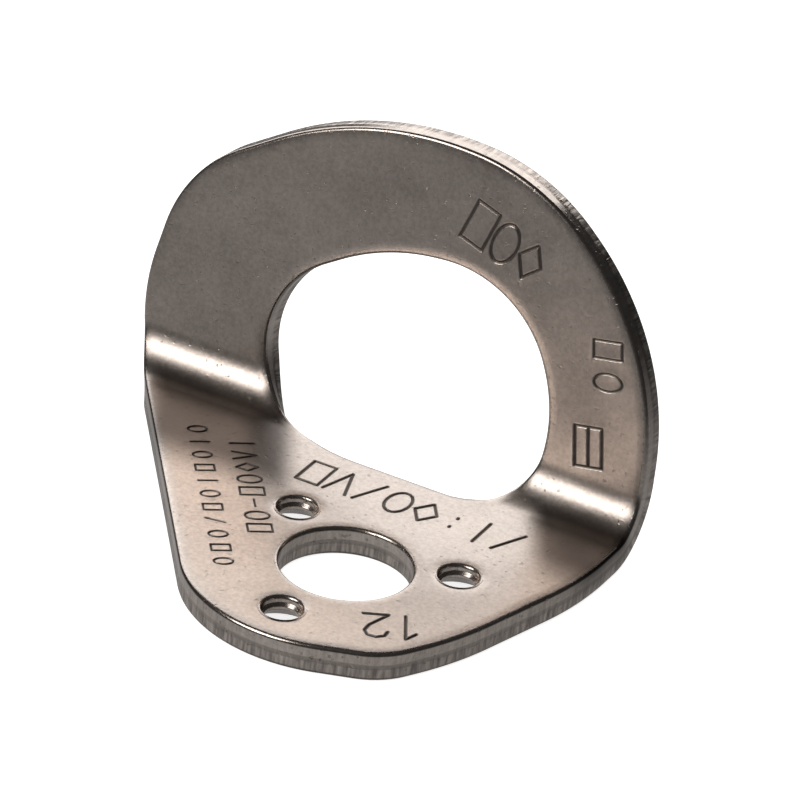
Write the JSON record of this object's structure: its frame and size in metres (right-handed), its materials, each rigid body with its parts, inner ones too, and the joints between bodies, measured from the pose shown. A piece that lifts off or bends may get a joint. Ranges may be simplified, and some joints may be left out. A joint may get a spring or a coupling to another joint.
{
  "type": "bolt hanger",
  "caption": "Stamped stainless steel anchor plate, folded near a right angle, with a bolt hole in the foot and a large connector eye in the raised lobe.",
  "frame": {"origin": "centre of the bolt hole on the back face, which rests on the rock", "axes": "+Z out of the rock along the bolt, +Y from the bolt hole towards the fold and the eye"},
  "size_m": [0.0547, 0.043, 0.0342],
  "materials": {
    "tumbled_stainless": "stamped stainless steel plate, tumbled to a soft shine"
  },
  "bodies": {
    "root": {"hanger_plate": "tumbled_stainless"}
  },
  "joints": []
}
